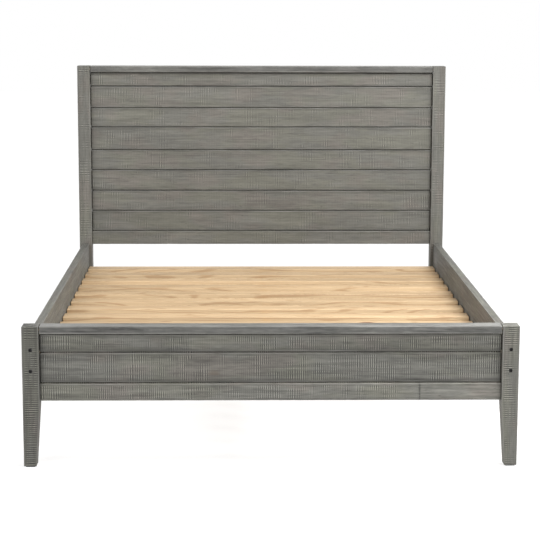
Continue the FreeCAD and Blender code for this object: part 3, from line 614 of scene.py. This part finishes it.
class Nodes:
    """A short way to write a material's nodes."""

    def __init__(self, name):
        self.material = bpy.data.materials.new(name)
        self.material.use_nodes = True
        self.tree = self.material.node_tree
        self.shader = self.tree.nodes["Principled BSDF"]

    def new(self, kind, **settings):
        node = self.tree.nodes.new(kind)
        for key, value in settings.items():
            setattr(node, key, value)
        return node

    def feed(self, socket, value):
        if isinstance(value, bpy.types.NodeSocket):
            self.tree.links.new(value, socket)
        else:
            socket.default_value = value

    def attribute(self, name, vector=False):
        node = self.new("ShaderNodeAttribute", attribute_name=name)
        return node.outputs["Vector" if vector else "Fac"]

    def object_place(self):
        return self.new("ShaderNodeTexCoord").outputs["Object"]

    def reordered_place(self, order):
        """The object's place with its axes in another order: grain, width, depth."""
        split = self.new("ShaderNodeSeparateXYZ")
        self.feed(split.inputs[0], self.object_place())
        merge = self.new("ShaderNodeCombineXYZ")
        for target, source in enumerate(order):
            self.feed(merge.inputs[target], split.outputs[source])
        return merge.outputs[0]

    def stretched(self, place, scale, offset=(0, 0, 0)):
        node = self.new("ShaderNodeMapping")
        self.feed(node.inputs["Vector"], place)
        node.inputs["Scale"].default_value = scale
        node.inputs["Location"].default_value = offset
        return node.outputs["Vector"]

    def noise(self, place, detail=3.0, roughness=0.55, distortion=0.0, scale=1.0):
        node = self.new("ShaderNodeTexNoise")
        self.feed(node.inputs["Vector"], place)
        node.inputs["Scale"].default_value = scale
        node.inputs["Detail"].default_value = detail
        node.inputs["Roughness"].default_value = roughness
        node.inputs["Distortion"].default_value = distortion
        return node.outputs["Fac"]

    def cell_distance(self, place, scale, offset):
        """How far each point is from the middle of the nearest of many scattered cells."""
        node = self.new("ShaderNodeTexVoronoi", feature="F1")
        self.feed(node.inputs["Vector"], self.stretched(place, scale, offset))
        node.inputs["Scale"].default_value = 1.0
        return node.outputs["Distance"]

    def math(self, operation, a, b=0.0):
        node = self.new("ShaderNodeMath", operation=operation)
        self.feed(node.inputs[0], a)
        self.feed(node.inputs[1], b)
        return node.outputs[0]

    def total(self, *values):
        """The sum of several numbers."""
        result = values[0]
        for value in values[1:]:
            result = self.math("ADD", result, value)
        return result

    def range(self, value, low, high, to_low=0.0, to_high=1.0):
        node = self.new("ShaderNodeMapRange", interpolation_type="SMOOTHSTEP")
        self.feed(node.inputs["Value"], value)
        node.inputs["From Min"].default_value = low
        node.inputs["From Max"].default_value = high
        node.inputs["To Min"].default_value = to_low
        node.inputs["To Max"].default_value = to_high
        return node.outputs["Result"]

    def mix(self, factor, a, b):
        node = self.new("ShaderNodeMix", data_type="RGBA")
        self.feed(node.inputs["Factor"], factor)
        self.feed(node.inputs[MIX_FIRST], a)
        self.feed(node.inputs[MIX_SECOND], b)
        return node.outputs[MIX_RESULT]

    def scaled(self, colour, factor):
        """The colour made lighter or darker by a number."""
        node = self.new("ShaderNodeVectorMath", operation="SCALE")
        self.feed(node.inputs[0], colour)
        self.feed(node.inputs["Scale"], factor)
        return node.outputs[0]

    def bump(self, height, distance, strength):
        node = self.new("ShaderNodeBump")
        node.inputs["Distance"].default_value = distance
        node.inputs["Strength"].default_value = strength
        self.feed(node.inputs["Height"], height)
        return node.outputs["Normal"]

    def surface(self, colour, roughness, normal=None, specular=0.35, metallic=0.0):
        """Feeds the shader and gives back the material."""
        self.feed(self.shader.inputs["Base Color"], colour)
        self.feed(self.shader.inputs["Roughness"], roughness)
        self.shader.inputs["Specular IOR Level"].default_value = specular
        self.shader.inputs["Metallic"].default_value = metallic
        if normal is not None:
            self.feed(self.shader.inputs["Normal"], normal)
        return self.material


GREY = (0.1010, 0.0990, 0.0875, 1)
OLIVE = (0.1035, 0.1015, 0.0840, 1)
PLANED_GREY = (0.1010, 0.1005, 0.0960, 1)
ROSE = (0.1070, 0.0990, 0.0865, 1)
WORN = (0.185, 0.181, 0.168, 1)
STAIN = (0.045, 0.043, 0.037, 1)
KNOT_BROWN = (0.082, 0.060, 0.041, 1)
DARKEST = -0.68
LIGHTEST = 0.95
# How far the saw marks lighten the ridges as painted highlight and darken the grooves with stain and painted
# shade
SAW_CONTRAST = 0.66
CRACK_STAIN = 0.70
PLANED_SHARE = 0.65
PLANED_GLOSS = 0.24


def grain_colour(n, place, planed):
    """The stain's colour, which turns from grey to olive and rose in patches."""
    olive_patch = n.noise(n.stretched(place, (4.0, 12.0, 12.0)), 3.0)
    rose_patch = n.noise(n.stretched(place, (5.0, 10.0, 10.0), (5.1, 2.7, 1.3)), 2.0)
    colour = n.mix(n.range(olive_patch, 0.44, 0.60), GREY, OLIVE)
    colour = n.mix(n.range(rose_patch, 0.50, 0.66), colour, ROSE)
    return n.mix(n.math("MULTIPLY", planed, PLANED_SHARE), colour, PLANED_GREY)


def figure_light(n, place, streak, fine, figure):
    """How much lighter or darker the grain makes the wood: streaks, fibres, growth rings and mottle."""
    broad = n.noise(n.stretched(place, (2.5, 36.0, 36.0), (3.3, 8.1, 4.2)), 3.0, 0.6, 0.8)
    rings = n.math("SINE", n.math("MULTIPLY", broad, 60.0))
    mottle = n.noise(n.stretched(place, (24.0, 70.0, 70.0), (4.4, 3.1, 7.7)), 3.0, 0.6)
    light = n.total(
        n.range(streak, 0.30, 0.70, -0.13, 0.13),
        n.range(broad, 0.30, 0.70, -0.12, 0.12),
        n.range(fine, 0.25, 0.75, -0.06, 0.06),
        n.range(rings, 0.2, 1.0, 0.02, -0.07),
        n.range(mottle, 0.30, 0.70, -0.07, 0.07),
    )
    return n.math("MULTIPLY", light, figure)


def saw_light(n, place, sawn):
    """How the saw marks, broken up along the grain, change the lightness: painted highlight on ridges, stain
    and painted shade in grooves.
    """
    broken = n.noise(n.stretched(place, (9.0, 200.0, 200.0), (7.7, 1.9, 3.6)), 2.0)
    marks = n.math("MULTIPLY", sawn, n.range(broken, 0.38, 0.62, 0.35, 1.55))
    return n.total(n.range(broken, 0.35, 0.65, -0.06, 0.06), n.math("MULTIPLY", marks, SAW_CONTRAST))


def cracks(n, place):
    """Where the wood has fine cracks along the grain or short nicks: 1 inside them."""
    crack = n.noise(n.stretched(place, (14.0, 520.0, 520.0), (1.7, 0.4, 2.2)), 2.0, 0.5, 0.6)
    nick = n.noise(n.stretched(place, (50.0, 330.0, 330.0), (6.1, 2.4, 5.2)), 2.0, 0.5, 0.4)
    return n.math("MAXIMUM", n.range(crack, 0.65, 0.72), n.range(nick, 0.67, 0.74))


def with_knots(n, place, streak, colour):
    """The colour with a few brown knots."""
    distance = n.cell_distance(place, (2.2, 6.5, 6.5), (0.4, 0.9, 0.2))
    near = n.total(distance, n.range(streak, 0.2, 0.8, -0.02, 0.02))
    return n.mix(n.range(near, 0.065, 0.03, 0.0, 0.45), colour, KNOT_BROWN)


def with_edges(n, place, edge, colour):
    """The colour with stain gathered beside the edges, and the edges themselves worn lighter."""
    blot = n.noise(n.stretched(place, (16.0, 30.0, 30.0), (9.0, 1.0, 6.0)), 3.0, 0.6)
    stained = n.math("MULTIPLY", n.range(edge, 0.06, 0.5), n.range(blot, 0.46, 0.60, 0.05, 0.30))
    colour = n.mix(stained, colour, STAIN)
    wear = n.noise(n.stretched(place, (5.0, 30.0, 30.0)), 5.0, 0.6)
    worn = n.math("MULTIPLY", n.range(edge, 0.55, 1.0), n.range(wear, 0.38, 0.66, 0.05, 0.60))
    return n.mix(worn, colour, WORN)


def weathered_wood(n, place, sawn, edge, tone, planed, figure):
    """Grey-brown stained wood, with figure, cracks, knots and worn edges, and saw marks: a painted highlight
    on the ridges, and stain with painted shade in the grooves.

    The arguments after place are numbers or sockets. sawn is the saw mark, from a groove up to a ridge.
    """
    streak = n.noise(n.stretched(place, (5.0, 150.0, 150.0)), 5.0, 0.65, 0.4)
    fine = n.noise(n.stretched(place, (30.0, 1000.0, 1000.0)), 3.0, 0.6)
    light = n.total(figure_light(n, place, streak, fine, figure), saw_light(n, place, sawn))
    light = n.math("MINIMUM", n.math("MAXIMUM", light, DARKEST), LIGHTEST)
    # tone brings in the painted light and shade along with each piece's own lightness
    brightness = n.math("MULTIPLY", n.total(light, 1.0), tone)
    cracked = cracks(n, place)
    colour = n.scaled(grain_colour(n, place, planed), brightness)
    colour = n.mix(n.math("MULTIPLY", cracked, CRACK_STAIN), colour, STAIN)
    colour = with_knots(n, place, streak, colour)
    colour = with_edges(n, place, edge, colour)
    height = n.total(n.math("MULTIPLY", streak, 0.6), n.math("MULTIPLY", fine, 0.5))
    height = n.math("SUBTRACT", height, n.math("MULTIPLY", cracked, 0.7))
    rough = n.range(streak, 0.25, 0.75, 0.72, 0.54)
    rough = n.math("SUBTRACT", rough, n.math("MULTIPLY", planed, PLANED_GLOSS))
    return n.surface(colour, rough, n.bump(height, 0.0006, 0.6), 0.4)


def weathered_from_attributes():
    """The finish of the swept pieces, which carry their own grain, marks, edges and tones."""
    n = Nodes("weathered_wood")
    place = n.attribute("grain", vector=True)
    values = {key: n.attribute(key) for key in ("sawn", "edge", "tone", "planed", "figure")}
    return weathered_wood(n, place, **values)


def upright_weathered():
    """The same finish for a plain batten whose grain runs up, with its place taken from the object."""
    n = Nodes("weathered_wood_upright")
    return weathered_wood(
        n, n.reordered_place((2, 0, 1)), sawn=0.0, edge=0.0, tone=1.0, planed=0.0, figure=1.0
    )


PINE_LIGHT = (0.44, 0.315, 0.185, 1)
PINE_DARK = (0.29, 0.175, 0.085, 1)
KNOT = (0.12, 0.055, 0.025, 1)


def pine(name, order):
    """Planed pine: growth rings, fine streaks and knots.

    order gives the object's axes for grain, width and depth.
    """
    n = Nodes(name)
    place = n.reordered_place(order)
    field = n.noise(n.stretched(place, (0.9, 14.0, 14.0)), 2.0, 0.45, 0.3)
    rings = n.math("SINE", n.math("MULTIPLY", field, 95.0))
    late = n.range(rings, 0.25, 1.0)
    streak = n.noise(n.stretched(place, (8.0, 420.0, 420.0)), 4.0, 0.6)
    tone = n.noise(n.stretched(place, (1.1, 12.5, 12.5), (2.0, 7.0, 4.0)), 1.0)
    colour = n.mix(n.math("MULTIPLY", late, 0.62), PINE_LIGHT, PINE_DARK)
    colour = n.scaled(colour, n.range(tone, 0.3, 0.7, 0.86, 1.12))
    colour = n.scaled(colour, n.range(streak, 0.3, 0.7, 0.92, 1.07))
    distance = n.cell_distance(place, (2.6, 9.0, 9.0), (0.3, 0.8, 0.5))
    near = n.total(distance, n.range(streak, 0.2, 0.8, -0.012, 0.012))
    colour = n.mix(n.range(near, 0.11, 0.05, 0.0, 0.5), colour, PINE_DARK)
    colour = n.mix(n.range(near, 0.075, 0.05, 0.0, 0.9), colour, KNOT)
    height = n.total(n.math("MULTIPLY", late, 0.4), n.math("MULTIPLY", streak, 0.6))
    return n.surface(colour, n.range(streak, 0.3, 0.7, 0.62, 0.5), n.bump(height, 0.0004, 0.5), 0.35)


def beech():
    """Dowel wood: pale, close and even."""
    n = Nodes("beech")
    streak = n.noise(n.object_place(), 3.0, scale=300.0)
    colour = n.mix(n.range(streak, 0.3, 0.7), (0.62, 0.42, 0.24, 1), (0.50, 0.32, 0.17, 1))
    return n.surface(colour, 0.6, n.bump(streak, 0.0002, 0.4), 0.3)


def zinc():
    """Zinc-plated steel: a bluish satin with a soft spangle."""
    n = Nodes("zinc_steel")
    cloud = n.noise(n.object_place(), 3.0, scale=90.0)
    brushed = n.noise(n.stretched(n.object_place(), (120.0, 120.0, 2500.0)), 2.0)
    colour = n.mix(n.range(cloud, 0.35, 0.65), (0.60, 0.62, 0.65, 1), (0.48, 0.50, 0.53, 1))
    rough = n.math("ADD", n.range(cloud, 0.3, 0.7, 0.26, 0.40), n.math("MULTIPLY", brushed, 0.08))
    return n.surface(colour, rough, n.bump(brushed, 0.00008, 0.4), 0.5, 1.0)


def black_steel():
    """Black oxide on steel, a little lighter and rougher in patches."""
    n = Nodes("black_steel")
    cloud = n.noise(n.object_place(), 3.0, scale=700.0)
    colour = n.mix(n.range(cloud, 0.45, 0.7), (0.020, 0.020, 0.022, 1), (0.055, 0.053, 0.050, 1))
    return n.surface(colour, n.range(cloud, 0.3, 0.7, 0.34, 0.52), n.bump(cloud, 0.00005, 0.5), 0.5, 0.7)


def black_plastic():
    """Moulded plastic with a fine spark-eroded grain."""
    n = Nodes("black_plastic")
    grain = n.noise(n.object_place(), 2.0, scale=1800.0)
    scuff = n.noise(n.object_place(), 4.0, scale=160.0)
    colour = n.mix(n.range(scuff, 0.5, 0.75), (0.022, 0.022, 0.024, 1), (0.060, 0.060, 0.060, 1))
    return n.surface(colour, n.range(scuff, 0.3, 0.7, 0.45, 0.62), n.bump(grain, 0.0001, 0.5), 0.4)


# The stage, the light and the camera


def stage():
    """A plain pale floor, bright enough to meet the white background."""
    bpy.ops.mesh.primitive_plane_add(size=FLOOR_SIZE, location=(0, 0, -FLOOR_DROP))
    floor = bpy.context.object
    floor.name = "floor"
    n = Nodes("floor_white")
    soft = n.noise(n.object_place(), 2.0, scale=2.0)
    colour = n.mix(n.range(soft, 0.3, 0.7), (0.30, 0.30, 0.30, 1), (0.31, 0.31, 0.31, 1))
    n.surface(colour, 0.9, None, 0.0)
    n.shader.inputs["Emission Color"].default_value = (1, 1, 1, 1)
    n.shader.inputs["Emission Strength"].default_value = FLOOR_GLOW
    floor.data.materials.append(n.material)


def area_light(name, place, target, size, power):
    """A square soft light aimed at a point."""
    data = bpy.data.lights.new(name, "AREA")
    data.shape = "RECTANGLE"
    data.size = data.size_y = size
    data.energy = power
    light = bpy.data.objects.new(name, data)
    light.location = place
    light.rotation_euler = (Vector(target) - Vector(place)).to_track_quat("-Z", "Y").to_euler()
    bpy.context.scene.collection.objects.link(light)


def lights():
    """A white surround and the soft lights."""
    world = bpy.data.worlds.new("studio")
    bpy.context.scene.world = world
    world.use_nodes = True
    background = world.node_tree.nodes["Background"]
    background.inputs["Color"].default_value = (1, 1, 1, 1)
    background.inputs["Strength"].default_value = 1.0
    for light in LIGHTS:
        area_light(*light)


def camera():
    """The camera, from its place, its turns and its lens."""
    data = bpy.data.cameras.new("camera")
    data.sensor_width = SENSOR_WIDTH
    data.lens = CAMERA_LENS
    data.clip_end = 100
    view = bpy.data.objects.new("camera", data)
    turn = Matrix.Rotation(CAMERA_YAW, 4, "Z") @ Matrix.Rotation(CAMERA_PITCH, 4, "X")
    turn = turn @ Matrix.Rotation(CAMERA_ROLL, 4, "Y") @ Matrix.Rotation(math.pi / 2, 4, "X")
    view.matrix_world = Matrix.Translation(CAMERA_PLACE) @ turn
    bpy.context.scene.collection.objects.link(view)
    bpy.context.scene.camera = view


# Putting it together


def build_wood():
    """Replaces the outer pieces of wood with finer ones."""
    wood = weathered_from_attributes()
    foot_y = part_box("footboard_leg_left")[0].y
    head_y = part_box("headboard_post_left")[1].y
    for side in ("left", "right"):
        for node, outer_y in ((f"footboard_leg_{side}", foot_y), (f"headboard_post_{side}", head_y)):
            finish_piece(post(node, outer_y), node, wood)
        node = f"side_rail_{side}"
        finish_piece(side_rail(node), node, wood)
    planks = sorted(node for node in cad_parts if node.startswith("headboard_plank_"))
    for node in planks + ["footboard_upper_plank", "footboard_middle_plank"]:
        finish_piece(plank(node), node, wood)
    for node, plank_node, splice in (
        ("headboard_panel_rail", "headboard_plank_8", None),
        ("footboard_bottom_rail", "footboard_middle_plank", SPLICE),
    ):
        finish_piece(panel_bottom_rail(node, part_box(plank_node)[1].y, splice), node, wood)
    for node in ("headboard_top_rail", "footboard_cap_rail"):
        finish_piece(top_member(node), node, wood)
    finish_piece(stretcher("headboard_stretcher"), "headboard_stretcher", wood)


def dress(node, material, bevel=0.0):
    """Gives a CAD node its material and, where asked, rounder edges."""
    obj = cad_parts[node]
    obj.data.materials.clear()
    obj.data.materials.append(material)
    if bevel:
        modifier = obj.modifiers.new("soft_edges", "BEVEL")
        modifier.width = bevel
        modifier.segments = 2
        modifier.limit_method = "ANGLE"
        modifier.angle_limit = math.radians(30)


def dress_cad_nodes():
    """Gives the CAD nodes that stay their materials."""
    across = pine("pine_across", (0, 1, 2))
    along = pine("pine_along", (1, 0, 2))
    upright = pine("pine_upright", (2, 0, 1))
    batten = upright_weathered()
    steel = zinc()
    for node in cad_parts:
        if node.startswith("slat_") and node != "slat_screws":
            dress(node, across, SLAT_BEVEL)
    for node in ("ledger_left", "ledger_right", "centre_rail"):
        dress(node, along)
    dress("centre_leg", upright)
    for node in ("headboard_brace", "footboard_brace"):
        dress(node, batten)
    for node in STEEL_NODES:
        dress(node, steel)
    dress("rail_bolts", black_steel())
    wooden = beech()
    for node in ("rail_dowels", "panel_dowels"):
        dress(node, wooden)
    plastic = black_plastic()
    for node in ("floor_glides", "foot_pad"):
        dress(node, plastic)


def colour_management():
    """A plain view of the colours, with no look added."""
    view = bpy.context.scene.view_settings
    view.view_transform = "Standard"
    view.look = "None"
    view.exposure = 0.0
    view.gamma = 1.0


build_wood()
dress_cad_nodes()
stage()
lights()
camera()
colour_management()
